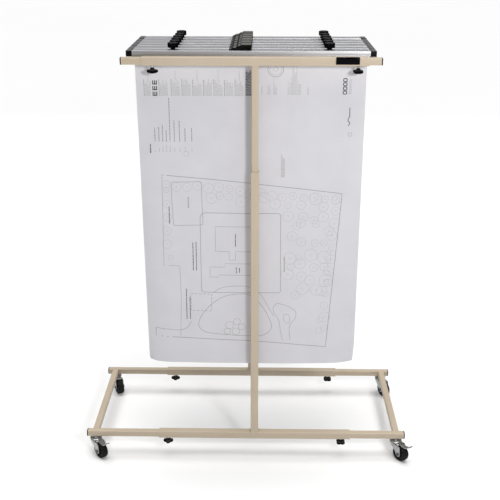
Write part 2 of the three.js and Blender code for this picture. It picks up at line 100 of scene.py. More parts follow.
# Only edges sharper than this, in radians, are bevelled.
BEVEL_ANGLE = 0.6

# Tube.
TUBE_WALL = 1.6
TUBE_CORNER = 2.4
TUBE_EDGE = 0.35
WELD_RADIUS = 1.5
WELD_RIPPLES = 44
PLUG_PROUD = 3.2
PLUG_DEPTH = 12.0

# Knobs.
STUD_RADIUS = 3.0
NUT_HEIGHT = 4.6
NUT_ACROSS = 10.0
NUT_SIDES = 48
KNOB_SIDES = 72
LOCK_LOBES = 4
LOCK_LOBE_DEPTH = 2.2
CLAMP_LOBES = 6
CLAMP_LOBE_DEPTH = 1.2

# Casters.
AXLE_RADIUS = 3.0
AXLE_NUT_ACROSS = 9.6
STEM_NUT_ACROSS = 17.0
STEM_RADIUS = 5.0
LEG_OUTER = 14.3
LEG_THICKNESS = 2.5
LEG_END_RADIUS = 8.0
CASTER_TRAIL = 23.0
AXLE_HEIGHT = 25.0
FORK_TOP = 56.0
FORK_BEND = 5.0
SPOKES = 6
LEVER_RIBS = 3

# Clamps.
CLAMP_COUNT = 6
CLAMP_DEPTH = 44.0
CAP_LENGTH = 16.0
CAP_LAP = 0.4
SECTION_INSET = 0.6

# Sheet.
PAPER_THICKNESS = 0.3
PAPER_COLUMNS = 61
PAPER_ROWS = 92
PAPER_GRIP = 18.0
EDGE_STRIP = 80.0
EDGE_BEND = 0.0026
FOOT_FORWARD = 6.0
INK_GAP = 0.01
INK_THICKNESS = 0.04
INK_STEP = 18.0
CURVE_STEPS = 6


# ---- outlines and rings

SQUARE = ((-1, -1), (1, -1), (1, 1), (-1, 1))


def circle(radius, sides):
    """Points round a circle, counter-clockwise."""
    angles = [2 * math.pi * i / sides for i in range(sides)]
    return [(radius * math.cos(a), radius * math.sin(a)) for a in angles]


def hexagon(across, most=99.0):
    """A hexagon by its width across flats, with its corners cut back to the radius most."""
    outline = []
    for i in range(NUT_SIDES):
        angle = 2 * math.pi * i / NUT_SIDES
        from_flat = (angle + math.pi / 6) % (math.pi / 3) - math.pi / 6
        radius = min(most, across / 2 / math.cos(from_flat))
        outline.append((radius * math.cos(angle), radius * math.sin(angle)))
    return outline


def rounded_square(half, corner, steps=5):
    """A square outline with rounded corners, counter-clockwise."""
    outline = []
    for quarter, (sx, sy) in enumerate([(1, 1), (-1, 1), (-1, -1), (1, -1)]):
        for step in range(steps + 1):
            angle = (quarter + step / steps) * math.pi / 2
            x = sx * (half - corner) + corner * math.cos(angle)
            y = sy * (half - corner) + corner * math.sin(angle)
            outline.append((x, y))
    return outline


def rounded(points, radius, steps=4):
    """A polygon with its corners rounded; a point's third value is its own radius."""
    outline = []
    for i, point in enumerate(points):
        here = Vector(point[:2])
        before = Vector(points[i - 1][:2]) - here
        after = Vector(points[(i + 1) % len(points)][:2]) - here
        reach = point[2] if len(point) > 2 else radius
        reach = min(reach, 0.48 * before.length, 0.48 * after.length)
        if reach < 0.01:
            outline.append(tuple(here))
            continue
        start = here + before.normalized() * reach
        end = here + after.normalized() * reach
        for step in range(steps + 1):
            t = step / steps
            spot = start * (1 - t) ** 2 + here * 2 * t * (1 - t) + end * t**2
            outline.append(tuple(spot))
    return outline


def area_of(outline):
    """An outline's area, positive when it runs counter-clockwise."""
    pairs = zip(outline, outline[1:] + outline[:1])
    return sum(a[0] * b[1] - b[0] * a[1] for a, b in pairs) / 2


def inset(outline, depth):
    """The outline moved inwards."""
    turn = 1 if area_of(outline) > 0 else -1
    moved = []
    for i, point in enumerate(outline):
        here = Vector(point)
        first = (here - Vector(outline[i - 1])).normalized()
        second = (Vector(outline[(i + 1) % len(outline)]) - here).normalized()
        normal = Vector((-first.y - second.y, first.x + second.x)).normalized() * turn
        share = max(0.4, abs(normal.dot(Vector((-first.y, first.x)))))
        moved.append(tuple(here + normal * depth / share))
    return moved


def lift(outline, height, axis="z", middle=(0, 0)):
    """A flat outline as a ring of points at a height along an axis."""
    spots = [(a + middle[0], b + middle[1]) for a, b in outline]
    if axis == "x":
        return [(height, a, b) for a, b in spots]
    if axis == "y":
        return [(a, height, b) for a, b in spots]
    return [(a, b, height) for a, b in spots]


def add_object(name, data):
    """A new object in the scene, around a mesh, a light or a camera."""
    thing = bpy.data.objects.new(name, data)
    bpy.context.scene.collection.objects.link(thing)
    return thing


class Shape:
    """Points and faces in millimetres, gathered before they become one piece."""

    def __init__(self):
        self.points = []
        self.faces = []

    def loft(self, rings, wrap=False, place=Matrix()):
        """Joins rings of equally many points. The ends are capped unless the rings wrap round."""
        first = len(self.points)
        count = len(rings[0])
        self.points += [place @ Vector(point) for ring in rings for point in ring]
        for step in range(len(rings) if wrap else len(rings) - 1):
            here = first + step * count
            there = first + (step + 1) % len(rings) * count
            for i in range(count):
                j = (i + 1) % count
                self.faces.append((here + i, here + j, there + j, there + i))
        if not wrap:
            last = first + (len(rings) - 1) * count
            self.faces.append(tuple(range(first + count - 1, first - 1, -1)))
            self.faces.append(tuple(range(last, last + count)))

    def prism(self, outline, low, high, axis="z", bevel=0.5, place=Matrix()):
        """An outline raised between two heights, with rounded rims."""
        rims = [(bevel, 0.0), (0.3 * bevel, 0.3 * bevel), (0.0, bevel)]
        rings = [lift(inset(outline, d), low + h, axis) for d, h in rims]
        rings += [lift(inset(outline, d), high - h, axis) for d, h in reversed(rims)]
        self.loft(rings, place=place)

    def turn(self, profile, place, sides=40, wrap=False):
        """A profile of (radius, height) turned about the Z axis."""
        self.loft([lift(circle(r, sides), z) for r, z in profile], wrap, place)

    def turn_mirrored(self, half, place):
        """A ring with the same half profile on both sides of its middle."""
        self.turn([(r, -z) for r, z in half] + [(r, z) for r, z in reversed(half)], place, 72, True)

    def lobed(self, profile, depth, lobes, place):
        """Like turn, with lobes: each level is (radius, height, share of the lobes' depth)."""
        rings = []
        for radius, height, share in profile:
            ring = []
            for i in range(KNOB_SIDES):
                angle = 2 * math.pi * i / KNOB_SIDES
                swell = 1 - (1 - math.cos(lobes * angle)) ** 2 / 2
                reach = radius + depth * share * swell
                ring.append((reach * math.cos(angle), reach * math.sin(angle), height))
            rings.append(ring)
        self.loft(rings, place=place)

    def thread(self, radius, low, high, pitch, place):
        """A threaded rod along Z, as a row of ridges."""
        steps = max(2, round((high - low) / pitch * 2))
        levels = [low + (high - low) * i / steps for i in range(steps + 1)]
        profile = [(radius - 0.3 * pitch * (i % 2), z) for i, z in enumerate(levels)]
        self.turn(profile, place, sides=24)

    def nut(self, across, low, high, bore, place):
        """A hexagon nut with chamfered corners, open along its middle."""
        soft = hexagon(across, across * 0.5)
        full = hexagon(across, across * 0.56)
        hole = circle(bore, NUT_SIDES)
        rings = [lift(hole, low), lift(soft, low), lift(full, low + 0.5)]
        rings += [lift(full, high - 0.5), lift(soft, high), lift(hole, high)]
        self.loft(rings, wrap=True, place=place)

    def piece(self, name, material, body, slot, replaces=(), angle=35, bevel=0.0):
        """Makes the piece: a closed mesh in metres that rides on a body."""
        mesh = bpy.data.meshes.new(name)
        mesh.from_pydata([p * MM for p in self.points], [], self.faces)
        work = bmesh.new()
        work.from_mesh(mesh)
        bmesh.ops.remove_doubles(work, verts=work.verts, dist=1e-7)
        bmesh.ops.recalc_face_normals(work, faces=work.faces)
        if bevel:
            edges = [e for e in work.edges if e.is_manifold and e.calc_face_angle() > BEVEL_ANGLE]
            bmesh.ops.bevel(work, geom=edges, offset=bevel * MM, segments=2, affect="EDGES",
                            profile=0.5, clamp_overlap=True)
        work.to_mesh(mesh)
        work.free()
        mesh.shade_smooth()
        mesh.set_sharp_from_angle(angle=math.radians(angle))
        mesh.materials.append(material)
        thing = add_object(name, mesh)
        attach(thing, body)
        if replaces:
            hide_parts(*replaces)
        return thing


# ---- the frame's places


def node_box(name):
    """A CAD node's lowest and highest corners, in millimetres."""
    low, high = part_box(name)
    return low / MM, high / MM


def named(rows, name):
    """The row with this name in a list of joints or mounts."""
    return next(row for row in rows if row["name"] == name)


def joint_place(name):
    """A joint's point, in millimetres."""
    return Vector(named(frame["joints"], name)["pos_m"]) / MM


def joint_axis(name):
    return Vector(named(frame["joints"], name)["axis"])


def mount_place(name):
    """A mount's point, in millimetres."""
    return Vector(named(frame["record"]["mounts"], name)["pos_m"]) / MM


def at(point, angle=0.0):
    """A place at a point, turned about Z."""
    return Matrix.Translation(point) @ Matrix.Rotation(angle, 4, "Z")


# ---- materials


class Finish:
    """A node material on the Principled shader, with noise that follows the object."""

    def __init__(self, name, metallic=0.0):
        self.material = bpy.data.materials.new(name)
        self.material.use_nodes = True
        self.tree = self.material.node_tree
        self.shader = self.tree.nodes["Principled BSDF"]
        self.place = self.tree.nodes.new("ShaderNodeTexCoord").outputs["Object"]
        self.set("Metallic", metallic)

    def set(self, socket, value):
        self.shader.inputs[socket].default_value = value

    def link(self, output, socket):
        self.tree.links.new(output, self.shader.inputs[socket])

    def node(self, kind, **inputs):
        """A node whose inputs are set from values or linked from outputs."""
        node = self.tree.nodes.new(kind)
        for name, value in inputs.items():
            socket = node.inputs[name.replace("_", " ")]
            if isinstance(value, bpy.types.NodeSocket):
                self.tree.links.new(value, socket)
            else:
                socket.default_value = value
        return node

    def noise(self, scale, detail=2.0, stretch=(1.0, 1.0, 1.0)):
        """Noise with so many features a metre; stretch scales each axis's count."""
        mapping = self.node("ShaderNodeMapping", Vector=self.place, Scale=stretch)
        noise = self.node("ShaderNodeTexNoise", Vector=mapping.outputs["Vector"], Scale=scale,
                          Detail=detail)
        return noise.outputs["Fac"]

    def colors(self, factor, low, high, start=0.3, end=0.7):
        """Drives the base colour between two colours."""
        ramp = self.node("ShaderNodeValToRGB", Fac=factor)
        ramp.color_ramp.elements[0].position = start
        ramp.color_ramp.elements[0].color = (*low, 1.0)
        ramp.color_ramp.elements[1].position = end
        ramp.color_ramp.elements[1].color = (*high, 1.0)
        self.link(ramp.outputs["Color"], "Base Color")

    def gloss(self, factor, low, high):
        """Drives the roughness between two values."""
        span = self.node("ShaderNodeMapRange", Value=factor, From_Min=0.3, From_Max=0.7,
                         To_Min=low, To_Max=high)
        self.link(span.outputs["Result"], "Roughness")

    def bump(self, height, depth_mm, strength=1.0):
        """Raises the surface by the noise; a second call adds to the first."""
        before = self.shader.inputs["Normal"].links
        node = self.node("ShaderNodeBump", Height=height, Strength=strength,
                         Distance=depth_mm * MM)
        if before:
            self.tree.links.new(before[0].from_socket, node.inputs["Normal"])
        self.link(node.outputs["Normal"], "Normal")


def powder_coat():
    """Beige powder coat: fine orange peel, soft sheen."""
    finish = Finish("powder_coat")
    finish.colors(finish.noise(9.0, 3.0), (0.520, 0.431, 0.320), (0.548, 0.457, 0.345))
    finish.gloss(finish.noise(60.0), 0.40, 0.52)
    finish.bump(finish.noise(650.0, 3.0), 0.05)
    finish.bump(finish.noise(90.0), 0.08, 0.5)
    return finish.material


def extruded_aluminium():
    """Satin aluminium with die lines along X."""
    finish = Finish("extruded_aluminium", 1.0)
    lines = finish.noise(520.0, 4.0, (0.0004, 1.0, 1.0))
    finish.colors(lines, (0.40, 0.40, 0.415), (0.49, 0.49, 0.505))
    finish.gloss(finish.noise(300.0, 3.0, (0.0004, 1.0, 1.0)), 0.36, 0.48)
    finish.bump(lines, 0.008)
    finish.set("Anisotropic", 0.3)
    around = finish.node("ShaderNodeTangent")
    around.direction_type = "RADIAL"
    around.axis = "X"
    finish.link(around.outputs["Tangent"], "Tangent")
    return finish.material


def moulded_plastic(name, black, top_lit, roughness, shine, level=0.35):
    """Black moulded plastic with spark-eroded grain, and painted top light: lighter where it faces up more
    than the level.
    """
    finish = Finish(name)
    finish.set("Specular IOR Level", shine)
    geometry = finish.node("ShaderNodeNewGeometry")
    facing = finish.node("ShaderNodeSeparateXYZ", Vector=geometry.outputs["Normal"])
    swing = 0.3 * (1 - level)
    # Painted top light: how far a face looks up, made patchy by noise, lightens the colour from the black.
    top_light_patches = finish.node("ShaderNodeMapRange", Value=finish.noise(420.0, 4.0), From_Min=0.3,
                         From_Max=0.7, To_Min=1 - swing, To_Max=1 + swing)
    painted_top_light = finish.node("ShaderNodeMath")
    painted_top_light.operation = "MULTIPLY"
    finish.tree.links.new(facing.outputs["Z"], painted_top_light.inputs[0])
    finish.tree.links.new(top_light_patches.outputs["Result"], painted_top_light.inputs[1])
    finish.colors(painted_top_light.outputs["Value"], black, top_lit, level, 1.0)
    finish.gloss(finish.noise(160.0, 3.0), roughness - 0.07, roughness + 0.07)
    finish.bump(finish.noise(1900.0, 2.0), 0.03)
    return finish.material


def glossy_plate():
    """Blank black plate with hairline scratches."""
    finish = Finish("glossy_plate")
    finish.set("Specular IOR Level", 0.05)
    finish.colors(finish.noise(30.0, 3.0), (0.001, 0.001, 0.002), (0.003, 0.003, 0.004))
    finish.gloss(finish.noise(240.0, 5.0, (0.08, 1.0, 1.0)), 0.12, 0.26)
    return finish.material


def zinc_plate():
    """Bright zinc plating: faint blue and straw patches, soft mottling."""
    finish = Finish("zinc_plating", 1.0)
    finish.colors(finish.noise(130.0, 4.0), (0.35, 0.365, 0.385), (0.45, 0.45, 0.43))
    finish.gloss(finish.noise(420.0, 3.0), 0.24, 0.42)
    finish.bump(finish.noise(900.0, 3.0), 0.02)
    return finish.material


def drawn_steel():
    """Flat steel bar with drawing lines along X."""
    finish = Finish("drawn_steel", 1.0)
    lines = finish.noise(700.0, 4.0, (0.006, 1.0, 1.0))
    finish.colors(lines, (0.34, 0.34, 0.35), (0.48, 0.48, 0.49))
    finish.gloss(lines, 0.34, 0.48)
    finish.bump(lines, 0.02)
    return finish.material


def bolt_steel():
    """Dark oiled bolt steel with turning marks."""
    finish = Finish("bolt_steel", 1.0)
    finish.colors(finish.noise(260.0, 4.0), (0.09, 0.09, 0.09), (0.17, 0.165, 0.16))
    finish.gloss(finish.noise(500.0, 3.0), 0.34, 0.50)
    finish.bump(finish.noise(1200.0, 2.0), 0.02)
    return finish.material


def tyre_rubber():
    """Black rubber with dust in its grain."""
    finish = Finish("tyre_rubber")
    finish.set("Specular IOR Level", 0.2)
    finish.colors(finish.noise(220.0, 5.0), (0.004, 0.004, 0.004), (0.014, 0.013, 0.012), 0.4, 0.8)
    finish.gloss(finish.noise(350.0, 3.0), 0.55, 0.80)
    finish.bump(finish.noise(1300.0, 3.0), 0.05)
    return finish.material


def bond_paper():
    """Plan-printer paper: fibres and a faint cloudiness."""
    finish = Finish("bond_paper")
    finish.colors(finish.noise(14.0, 4.0), (0.642, 0.635, 0.670), (0.677, 0.669, 0.701))
    finish.gloss(finish.noise(500.0, 2.0), 0.78, 0.92)
    finish.bump(finish.noise(1100.0, 3.0, (1.0, 1.0, 0.35)), 0.02)
    finish.bump(finish.noise(5.0, 2.0), 0.9, 0.35)
    return finish.material


def toner(name, dark, light):
    """Printed toner, thin in places."""
    finish = Finish(name)
    finish.colors(finish.noise(700.0, 3.0), dark, light)
    finish.gloss(finish.noise(900.0), 0.5, 0.7)
    return finish.material


POWDER = powder_coat()
ALUMINIUM = extruded_aluminium()
# Each plastic's second colour is painted top light, taken on by the faces that look up.
KNOB_PLASTIC = moulded_plastic("knob_plastic", (0.0015, 0.0015, 0.002), (0.050, 0.048, 0.050), 0.40, 0.03)
CAP_PLASTIC = moulded_plastic("cap_plastic", (0.003, 0.003, 0.004), (0.125, 0.122, 0.125), 0.42, 0.10)
PLUG_PLASTIC = moulded_plastic("plug_plastic", (0.003, 0.003, 0.003), (0.035, 0.034, 0.033), 0.50, 0.08)
HANGER_PLASTIC = moulded_plastic(
    "hanger_plastic", (0.004, 0.004, 0.004), (0.150, 0.148, 0.142), 0.5, 0.12, level=0.88,
)
HUB_PLASTIC = moulded_plastic("hub_plastic", (0.008, 0.008, 0.009), (0.050, 0.050, 0.052), 0.5, 0.25)
PLATE = glossy_plate()
ZINC = zinc_plate()
STEEL = drawn_steel()
BOLT_STEEL = bolt_steel()
RUBBER = tyre_rubber()
PAPER = bond_paper()
FINE_INK = toner("fine_toner", (0.20, 0.20, 0.21), (0.34, 0.34, 0.35))
FAINT_INK = toner("faint_toner", (0.40, 0.40, 0.41), (0.54, 0.54, 0.56))
BOLD_INK = toner("bold_toner", (0.004, 0.004, 0.005), (0.015, 0.015, 0.018))


# ---- camera, floor and light


def add_camera():
    camera = add_object("camera", bpy.data.cameras.new("camera"))
    camera.data.lens = CAMERA_LENS
    camera.data.sensor_width = CAMERA_SENSOR
    camera.location = CAMERA_PLACE
    camera.rotation_euler = (math.radians(90 - CAMERA_PITCH_DOWN), 0, math.radians(CAMERA_TURN_LEFT))
    bpy.context.scene.camera = camera


def add_light(name, kind, place, toward):
    light = add_object(name, bpy.data.lights.new(name, kind))
    light.location = place
    light.rotation_euler = (Vector(toward) - Vector(place)).to_track_quat("-Z", "Y").to_euler()
    return light.data


def add_lights():
    """A near key lamp at the front right, a wide panel behind and an even light from above.

    The world is only a pale backdrop: it lights nothing.
    """
    azimuth = math.radians(KEY_AZIMUTH)
    elevation = math.radians(KEY_ELEVATION)
    direction = Vector((
        math.sin(azimuth) * math.cos(elevation),
        -math.cos(azimuth) * math.cos(elevation),
        math.sin(elevation),
    ))
    key = add_light("key", "AREA", Vector(LIT_POINT) + direction * KEY_DISTANCE, LIT_POINT)
    key.size = KEY_SIZE
    key.energy = KEY_POWER
    back = add_light("back", "AREA", BACK_PLACE, LIT_POINT)
    back.shape = "RECTANGLE"
    back.size = BACK_WIDTH
    back.size_y = BACK_HEIGHT
    back.energy = BACK_POWER
    top = add_light("top", "SUN", (0, 0, 3), (0, 0, 0))
    top.energy = TOP_STRENGTH
    top.angle = math.radians(TOP_SPREAD)
    world = bpy.data.worlds.new("studio")
    bpy.context.scene.world = world
    world.use_nodes = True
    backdrop = world.node_tree.nodes["Background"]
    backdrop.inputs["Color"].default_value = (1, 1, 1, 1)
    backdrop.inputs["Strength"].default_value = WORLD_STRENGTH
    world.cycles_visibility.diffuse = False
    world.cycles_visibility.glossy = False
    bpy.context.scene.view_settings.view_transform = "Standard"


def add_floor():
    finish = Finish("studio_floor")
    finish.set("Roughness", 0.9)
    finish.colors(finish.noise(0.4, 2.0), (0.795, 0.795, 0.795), (0.805, 0.805, 0.805))
    finish.set("Specular IOR Level", 0.0)
    finish.set("Emission Color", (1, 1, 1, 1))
    finish.set("Emission Strength", FLOOR_GLOW)
    mesh = bpy.data.meshes.new("floor")
    mesh.from_pydata([(x * FLOOR_HALF, y * FLOOR_HALF, 0) for x, y in SQUARE], [], [(0, 1, 2, 3)])
    mesh.materials.append(finish.material)
    add_object("floor", mesh)


# ---- tube frame


def add_tube(shape, axis, middle, low, high, size):
    """A square tube along an axis; middle gives its centre line's other two coordinates."""
    half = size / 2
    inner = half - TUBE_WALL
    levels = [
        (low, half - TUBE_EDGE, TUBE_CORNER),
        (low + TUBE_EDGE, half, TUBE_CORNER),
        (high - TUBE_EDGE, half, TUBE_CORNER),
        (high, half - TUBE_EDGE, TUBE_CORNER),
        (high, inner, TUBE_CORNER - TUBE_WALL / 2),
        (low, inner, TUBE_CORNER - TUBE_WALL / 2),
    ]
    rings = [lift(rounded_square(h, c), level, axis, middle) for level, h, c in levels]
    shape.loft(rings, wrap=True)


def add_weld(shape, axis, middle, height, size, proud=1.0):
    """A rippled weld bead round a square tube where it meets another."""
    path = rounded_square(size / 2, TUBE_CORNER, steps=4)
    spots = []
    for i, point in enumerate(path):
        here, there = Vector(point), Vector(path[(i + 1) % len(path)])
        steps = max(1, round((there - here).length / 0.8))
        spots += [here.lerp(there, step / steps) for step in range(steps)]
    rings = []
    for i, spot in enumerate(spots):
        ahead = (spots[(i + 1) % len(spots)] - spots[i - 1]).normalized()
        outward = Vector((ahead.y, -ahead.x))
        ripple = 1 + 0.1 * math.sin(2 * math.pi * i * WELD_RIPPLES / len(spots))
        ring = []
        for a, b in circle(WELD_RADIUS * ripple, 10):
            flat = spot + outward * (a - WELD_RADIUS + proud)
            ring += lift([tuple(flat)], height + b, axis, middle)
        rings.append(ring)
    shape.loft(rings, wrap=True)


def add_tee(level, rail, sliding_size):
    """A sleeve along X and the post welded to it: up from the base's, down from the top's."""
    low, high = node_box(f"{level}_{rail}_tee")
    size = high.y - low.y
    x, y = (low.x + high.x) / 2, (low.y + high.y) / 2
    if level == "base":
        sleeve_z, weld_z, post_size = low.z + size / 2, low.z + size, size
        post_low, post_high = weld_z - TUBE_EDGE, high.z
    else:
        sleeve_z, weld_z, post_size = high.z - size / 2, high.z - size, sliding_size
        post_low, post_high = low.z, weld_z + TUBE_EDGE
    shape = Shape()
    add_tube(shape, "x", (y, sleeve_z), low.x, high.x, size)
    add_tube(shape, "z", (x, y), post_low, post_high, post_size)
    add_weld(shape, "z", (x, y), weld_z, post_size)
    name = f"{level}_{rail}_sleeve_and_post"
    shape.piece(name, POWDER, level, "powder_paint", [f"{level}_{rail}_tee"])


def add_end_plug(name, body, end, size, outward):
    """A push-in plug: ribbed shank in the tube, thin domed cap outside; outward is -1 or +1 in X."""
    half = size / 2
    bore = half - TUBE_WALL
    levels = [(-PLUG_DEPTH, bore - 1.2), (-PLUG_DEPTH + 1, bore - 0.6)]
    for rib in range(3):
        start = -9.5 + 3 * rib
        levels += [(start, bore - 0.6), (start + 0.4, bore - 0.1), (start + 1.2, bore - 0.6)]
    levels += [(0, bore - 0.6), (0, half - 0.3), (0.3, half), (0.6 * PLUG_PROUD, half)]
    levels += [(0.85 * PLUG_PROUD, half - 0.5), (0.97 * PLUG_PROUD, half - 2), (PLUG_PROUD, half - 5)]
    outlines = [(x, rounded_square(h, min(TUBE_CORNER, h / 2))) for x, h in levels]
    shape = Shape()
    shape.loft([lift(outline, outward * x, "x") for x, outline in outlines], place=Matrix.Translation(end))
    shape.piece(name, PLUG_PLASTIC, body, "black_plastic")


def add_side_frame(level, side, side_x):
    """Two sliding rails and the tube between them, welded flush, with plugs in the rails' ends."""
    body = f"{level}_{side}"
    low, high = node_box(f"{body}_frame")
    size = high.z - low.z
    z = (low.z + high.z) / 2
    rails = {"front": low.y + size / 2, "rear": high.y - size / 2}
    open_end, far_end = (low.x, high.x) if side == "left" else (high.x, low.x)
    mouth = open_end - OUTWARD[side] * PLUG_PROUD
    shape = Shape()
    for y in rails.values():
        add_tube(shape, "x", (y, z), min(mouth, far_end), max(mouth, far_end), size)
    start, end = low.y + size, high.y - size
    add_tube(shape, "y", (side_x, z), start - TUBE_EDGE, end + TUBE_EDGE, size)
    for y in (start, end):
        add_weld(shape, "y", (side_x, z), y, size, 0.5)
    shape.piece(f"{body}_tubes", POWDER, body, "powder_paint", [f"{body}_frame"])
    for rail, y in rails.items():
        add_end_plug(f"{level}_{rail}_{side}_end_plug", body, (mouth, y, z), size, OUTWARD[side])


def add_label_plate():
    low, high = node_box("label_plate")
    outline = rounded([(low.x, low.z), (high.x, low.z), (high.x, high.z), (low.x, high.z)], 1.6)
    shape = Shape()
    shape.prism(outline, low.y, high.y, "y", 0.4)
    rim = inset(outline, 1.6)
    inner = inset(outline, 2.2)
    raised = low.y - 0.25
    rings = [lift(rim, low.y + 0.2, "y"), lift(rim, raised, "y")]
    rings += [lift(inner, raised, "y"), lift(inner, low.y + 0.2, "y")]
    shape.loft(rings, wrap=True)
    shape.piece("blank_label_plate", PLATE, "top", "label_plastic", ["label_plate"])


def add_tube_frame():
    low, high = node_box("top_left_frame")
    sliding_size = high.z - low.z
    for rail in ("front", "rear"):
        add_tee("base", rail, sliding_size)
        add_tee("top", rail, sliding_size)
    for side in OUTWARD:
        add_side_frame("base", side, joint_place(f"front_{side}_caster_swivel").x)
        outer_face = mount_place(f"{side}_clamp_rail_outer_face").x
        add_side_frame("top", side, outer_face - OUTWARD[side] * sliding_size / 2)
    add_label_plate()


# ---- lock knobs and screws


def add_lock_knob(level, rail, side):
    """A four-lobed knob under a sleeve, its stud running up through a flanged weld nut."""
    name = f"{level}_{rail}_{side}_lock_knob"
    wall = joint_place(f"{name}_turn")
    place = at(wall, 0.0 if side == "left" else math.pi / 4)
    head = Shape()
    head.lobed([
        (4.6, -6.6, 0.0), (5.4, -6.9, 0.0), (5.5, -9.2, 0.0), (6.8, -10.2, 0.1),
        (9.8, -11.2, 0.6), (12.0, -12.2, 1.0), (12.6, -13.6, 1.0), (12.6, -16.0, 1.0),
        (12.0, -17.6, 1.0), (10.6, -18.9, 0.8), (8.2, -20.0, 0.5), (6.7, -20.4, 0.2),
        (6.0, -20.6, 0.0), (5.4, -20.2, 0.0), (5.0, -19.8, 0.0), (1.0, -19.6, 0.0),
    ], LOCK_LOBE_DEPTH, LOCK_LOBES, place)
    head.piece(f"{name}_head", KNOB_PLASTIC, name, "black_plastic", [name])
    stud = Shape()
    stud.thread(STUD_RADIUS - 0.1, -7.4, 1.6, 1.0, place)
    stud.piece(f"{name}_stud", ZINC, name, "zinc_plate")
    nut = Shape()
    bore = STUD_RADIUS + 0.1
    nut.nut(NUT_ACROSS, -NUT_HEIGHT, -0.8, bore, at(wall))
    nut.turn([(bore, -1.2), (6.8, -1.2), (7.4, -0.7), (7.4, -0.05), (bore, -0.05)], at(wall), wrap=True)
    nut.piece(f"{level}_{rail}_{side}_weld_nut", ZINC, level, "zinc_plate")


def add_post_screw(rail):
    """A button-head screw with a hexagon socket."""
    name = f"{rail}_post_lock_screw"
    axis = joint_axis(f"{name}_turn")
    turn = axis.to_track_quat("Z", "Y").to_matrix().to_4x4()
    place = Matrix.Translation(joint_place(f"{name}_turn")) @ turn
    shank = [(2.9, -1.7), (2.9, 0.3)]
    button = [(5.3, 0.3), (5.5, 0.6), (5.4, 1.8), (4.8, 3.1), (3.8, 4.0), (2.8, 4.3)]
    rings = [lift(circle(r, NUT_SIDES), z) for r, z in shank + button]
    rings += [lift(hexagon(4.2), 4.2), lift(hexagon(4.0), 2.2)]
    shape = Shape()
    shape.loft(rings, place=place)
    shape.piece(f"{name}_head", ZINC, name, "zinc_plate", [name])


def add_lock_hardware():
    for level in ("base", "top"):
        for rail in ("front", "rear"):
            for side in OUTWARD:
                add_lock_knob(level, rail, side)
    for rail in ("front", "rear"):
        add_post_screw(rail)


# ---- casters
# A caster is drawn round its swivel axis on the floor, the wheel trailing along +X and its axle along Y.


def leg_span(z):
    """The fork leg's front and back edges in X at a height."""
    if z < AXLE_HEIGHT:
        half = math.sqrt(max(0.0, LEG_END_RADIUS**2 - (AXLE_HEIGHT - z) ** 2))
        return CASTER_TRAIL - half, CASTER_TRAIL + half
    rise = (z - AXLE_HEIGHT) / (FORK_TOP - AXLE_HEIGHT)
    ease = rise * rise * (3 - 2 * rise)
    back = CASTER_TRAIL + LEG_END_RADIUS - 2.5 * rise
    return CASTER_TRAIL - LEG_END_RADIUS - 27 * (0.6 * rise + 0.4 * ease), back - 7.5 * rise**6


def fork_sections():
    """Cross sections of the pressed fork, from one leg's round end over the crown to the other's."""
    bottom = [AXLE_HEIGHT - LEG_END_RADIUS * math.sin(math.radians(a)) for a in (86, 70, 50, 30, 12)]
    bend_start = FORK_TOP - FORK_BEND
    straight = [AXLE_HEIGHT + (bend_start - AXLE_HEIGHT) * i / 8 for i in range(9)]
    stations = [(LEG_OUTER, z, 0.0) for z in bottom + straight]
    bend_y = LEG_OUTER - FORK_BEND
    for degrees in (20, 40, 60, 80, 90):
        turn = math.radians(degrees)
        y = bend_y + FORK_BEND * math.cos(turn)
        stations.append((y, bend_start + FORK_BEND * math.sin(turn), turn))
    stations += [(-y, z, math.pi - turn) for y, z, turn in reversed(stations)]
    sections = []
    for y, z, turn in stations:
        front, back = leg_span(z)
        inner_y = y - LEG_THICKNESS * math.cos(turn)
        inner_z = z - LEG_THICKNESS * math.sin(turn)
        sections.append([(front, y, z), (back, y, z), (back, inner_y, inner_z), (front, inner_y, inner_z)])
    return sections


def add_fork(name, place):
    """The pressed fork with its raceways, stem nut, stem and kingpin rivet."""
    shape = Shape()
    shape.loft(fork_sections(), place=place)
    lower_race = [(11, 56), (16.6, 56), (18, 56.9), (18, 57.9), (17, 58.5), (11, 58.5)]
    upper_race = [(4.5, 59), (17, 59), (18, 59.6), (17.8, 60.2), (15.4, 61), (11, 61.4), (4.5, 61.4)]
    for profile in (lower_race, upper_race):
        shape.turn(profile, place, wrap=True)
    shape.turn([(4.0, 49.8), (5.8, 50.4), (6.6, 51.6), (6.8, 53.7), (6.8, 58.8)], place)
    shape.turn([(10.6, 61.2), (11, 61.6), (11, 62.6), (10.4, 63.0)], place)
    shape.nut(STEM_NUT_ACROSS, 62.9, 66.9, STEM_RADIUS - 0.1, place)
    shape.thread(STEM_RADIUS, 62, 82, 1.5, place)
    shape.piece(f"{name}_pressed_fork", ZINC, name, "zinc_plate", [f"{name}_fork"], bevel=0.35)


def axle_place(place, x, z):
    """A place in the caster whose own Z axis runs along the axle."""
    return place @ Matrix.Translation((x, 0, z)) @ Matrix.Rotation(math.pi / 2, 4, "X")


def add_axle(name, place):
    """The axle bolt: hexagon head on one leg, nut and thread end on the other."""
    along = axle_place(place, CASTER_TRAIL, AXLE_HEIGHT)
    shape = Shape()
    shape.turn([(AXLE_RADIUS, -15), (AXLE_RADIUS, 14)], along)
    rims = [(4.6, -16.9), (5.5, -16.4), (5.5, -14.35)]
    shape.loft([lift(hexagon(AXLE_NUT_ACROSS, most), z) for most, z in rims], place=along)
    shape.nut(AXLE_NUT_ACROSS, 14.35, 16.6, AXLE_RADIUS - 0.2, along)
    shape.thread(AXLE_RADIUS, 13.8, 17.2, 0.9, along)
    shape.piece(f"{name}_axle_bolt", BOLT_STEEL, name, "bar_steel")


